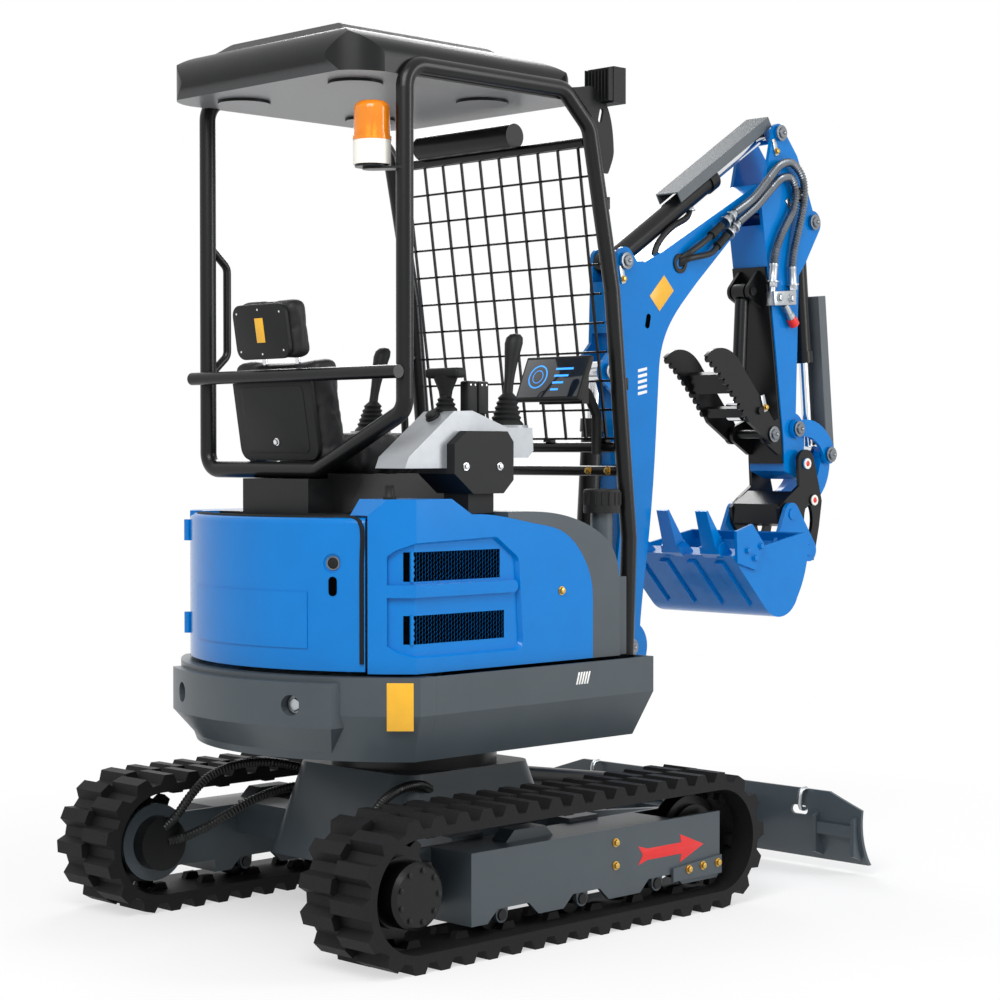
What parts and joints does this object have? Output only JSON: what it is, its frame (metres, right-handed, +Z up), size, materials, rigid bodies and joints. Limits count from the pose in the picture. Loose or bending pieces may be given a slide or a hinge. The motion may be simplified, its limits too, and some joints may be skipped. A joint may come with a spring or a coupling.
{
  "type": "mini excavator",
  "caption": "Tracked mini excavator with an open canopy, swinging boom, arm, toothed bucket with thumb, and a dozer blade.",
  "frame": {"origin": "on the ground under the middle of the machine's overall length and width", "axes": "+X forward towards the bucket, +Y to the operator's left, +Z up"},
  "size_m": [2.5695, 1.25, 2.312],
  "materials": {
    "blue_paint": "gloss paint",
    "grey_paint": "satin paint",
    "black_paint": "gloss paint",
    "track_rubber": "moulded rubber",
    "steel": "machined steel",
    "chrome": "polished rod",
    "black_plastic": "moulded plastic",
    "cushion": "vinyl cushion",
    "silver_plastic": "painted plastic",
    "cast_grey": "painted casting",
    "off_white": "moulded plastic",
    "amber": "translucent lens",
    "guard_grey": "grey paint"
  },
  "bodies": {
    "undercarriage": {"track_left": "track_rubber", "track_right": "track_rubber", "track_frame_left": "grey_paint", "track_frame_right": "grey_paint", "track_wheels_left": "steel", "track_wheels_right": "steel", "track_drive_left": "steel", "track_drive_right": "steel", "carbody": "grey_paint", "slew_ring": "steel"},
    "blade": {"blade": "grey_paint"},
    "blade_barrel": {"blade_barrel": "black_paint"},
    "blade_rod": {"blade_rod": "chrome"},
    "house": {"house_frame": "grey_paint", "counterweight": "cast_grey", "right_cover": "blue_paint", "left_cover": "blue_paint", "front_pillar": "grey_paint", "deck": "grey_paint", "engine": "cast_grey", "seat_base": "black_paint", "seat": "cushion", "consoles": "silver_plastic", "joysticks": "black_plastic", "monitor": "black_plastic", "canopy_side_left": "black_paint", "canopy_side_right": "black_paint", "canopy_bars": "black_paint", "roof": "black_plastic", "mesh_guard": "black_paint", "beacon": "amber", "work_light": "black_plastic", "fuel_cap": "black_plastic", "console_lid": "silver_plastic", "beacon_base": "off_white", "beacon_bracket": "black_paint"},
    "hood": {"hood": "blue_paint"},
    "swing_post": {"swing_post": "blue_paint"},
    "boom": {"boom": "blue_paint"},
    "boom_barrel": {"boom_barrel": "black_paint"},
    "boom_rod": {"boom_rod": "chrome"},
    "arm_barrel": {"arm_barrel": "black_paint"},
    "arm_rod": {"arm_rod": "chrome", "arm_rod_guard": "guard_grey"},
    "arm": {"arm": "blue_paint", "thumb_base": "black_paint"},
    "bucket_barrel": {"bucket_barrel": "black_paint"},
    "bucket_rod": {"bucket_rod": "chrome", "bucket_rod_guard": "guard_grey"},
    "rocker": {"rocker": "blue_paint"},
    "bucket_link": {"bucket_link": "blue_paint"},
    "bucket": {"coupler": "black_paint", "bucket": "blue_paint"},
    "thumb": {"thumb": "black_paint"},
    "thumb_barrel": {"thumb_barrel": "black_paint"},
    "thumb_rod": {"thumb_rod": "chrome"}
  },
  "joints": [
    {"name": "slew", "type": "hinge", "parent": "undercarriage", "child": "house", "pos_m": [-0.552, 0, 0.444], "axis": [0, 0, 1], "continuous": true},
    {"name": "boom_swing", "type": "hinge", "parent": "house", "child": "swing_post", "pos_m": [0.048, 0, 0.57], "axis": [0, 0, 1], "range_deg": [-50, 70]},
    {"name": "boom_lift", "type": "hinge", "parent": "swing_post", "child": "boom", "pos_m": [0.238, 0, 0.662], "axis": [0, -1, 0], "range_deg": [-48, 5]},
    {"name": "arm_swing", "type": "hinge", "parent": "boom", "child": "arm", "pos_m": [1.033, 0, 2.055], "axis": [0, 1, 0], "range_deg": [-70, 4]},
    {"name": "bucket_curl", "type": "hinge", "parent": "arm", "child": "bucket", "pos_m": [1.048, 0, 1.2], "axis": [0, 1, 0], "range_deg": [-120, 8]},
    {"name": "thumb_close", "type": "hinge", "parent": "arm", "child": "thumb", "pos_m": [0.898, 0, 1.293], "axis": [0, 1, 0], "range_deg": [-70, 0]},
    {"name": "blade_lift", "type": "hinge", "parent": "undercarriage", "child": "blade", "pos_m": [-0.182, 0, 0.2], "axis": [0, -1, 0], "range_deg": [-15, 18]},
    {"name": "hood_open", "type": "hinge", "parent": "house", "child": "hood", "pos_m": [-1.04442, 0.36172, 0.88], "axis": [0, 0, -1], "range_deg": [0, 100]},
    {"name": "boom_barrel_turn", "type": "hinge", "parent": "swing_post", "child": "boom_barrel", "pos_m": [0.12, 0, 0.775], "axis": [0, -1, 0], "range_deg": [-51.7, 5.57]},
    {"name": "boom_rod_slide", "type": "slide", "parent": "boom_barrel", "child": "boom_rod", "axis": [0.0715, 0, 0.9974], "range_m": [-0.01409, 0.12666]},
    {"name": "arm_barrel_turn", "type": "hinge", "parent": "boom", "child": "arm_barrel", "pos_m": [0.238, 0, 1.8], "axis": [0, 1, 0], "range_deg": [-0.45, 4.6]},
    {"name": "arm_rod_slide", "type": "slide", "parent": "arm_barrel", "child": "arm_rod", "axis": [0.8471, 0, 0.5315], "range_m": [-0.22579, 0.01385]},
    {"name": "thumb_barrel_turn", "type": "hinge", "parent": "arm", "child": "thumb_barrel", "pos_m": [0.85, 0, 1.742], "axis": [0, 1, 0], "range_deg": [-0.2, 4.22]},
    {"name": "thumb_rod_slide", "type": "slide", "parent": "thumb_barrel", "child": "thumb_rod", "axis": [-0.0584, 0, -0.9983], "range_m": [-0.001, 0.11496]},
    {"name": "blade_barrel_turn", "type": "hinge", "parent": "undercarriage", "child": "blade_barrel", "pos_m": [-0.212, 0, 0.322], "axis": [0, -1, 0], "range_deg": [-14.33, 17.15]},
    {"name": "blade_rod_slide", "type": "slide", "parent": "blade_barrel", "child": "blade_rod", "axis": [0.9889, 0, -0.1487], "range_m": [-0.03776, 0.03163]},
    {"name": "rocker_turn", "type": "hinge", "parent": "arm", "child": "rocker", "pos_m": [1.028, 0, 1.311], "axis": [0, 1, 0], "range_deg": [-82.81, 5.71]},
    {"name": "bucket_link_turn", "type": "hinge", "parent": "rocker", "child": "bucket_link", "pos_m": [1.193, 0, 1.229], "axis": [0, 1, 0], "range_deg": [-2.83, 39.61]},
    {"name": "bucket_barrel_turn", "type": "hinge", "parent": "arm", "child": "bucket_barrel", "pos_m": [1.12, 0, 1.975], "axis": [0, 1, 0], "range_deg": [-0.99, 0.25]},
    {"name": "bucket_rod_slide", "type": "slide", "parent": "bucket_barrel", "child": "bucket_rod", "axis": [0.0974, 0, -0.9952], "range_m": [-0.25053, 0.01764]}
  ],
  "couplings": [
    {"joint": "boom_barrel_turn", "follows": "boom_lift", "ratio": 1.073},
    {"joint": "boom_rod_slide", "follows": "boom_lift", "m_per_rad": -0.15},
    {"joint": "arm_barrel_turn", "follows": "arm_swing", "ratio": -0.06286},
    {"joint": "arm_rod_slide", "follows": "arm_swing", "m_per_rad": 0.184},
    {"joint": "thumb_barrel_turn", "follows": "thumb_close", "ratio": -0.05741},
    {"joint": "thumb_rod_slide", "follows": "thumb_close", "m_per_rad": -0.093275},
    {"joint": "blade_barrel_turn", "follows": "blade_lift", "ratio": 0.94174},
    {"joint": "blade_rod_slide", "follows": "blade_lift", "m_per_rad": -0.11702},
    {"joint": "rocker_turn", "follows": "bucket_curl", "ratio": 0.68843},
    {"joint": "bucket_link_turn", "follows": "bucket_curl", "ratio": -0.32844},
    {"joint": "bucket_barrel_turn", "follows": "bucket_curl", "ratio": 0.00658},
    {"joint": "bucket_rod_slide", "follows": "bucket_curl", "m_per_rad": 0.11914}
  ]
}
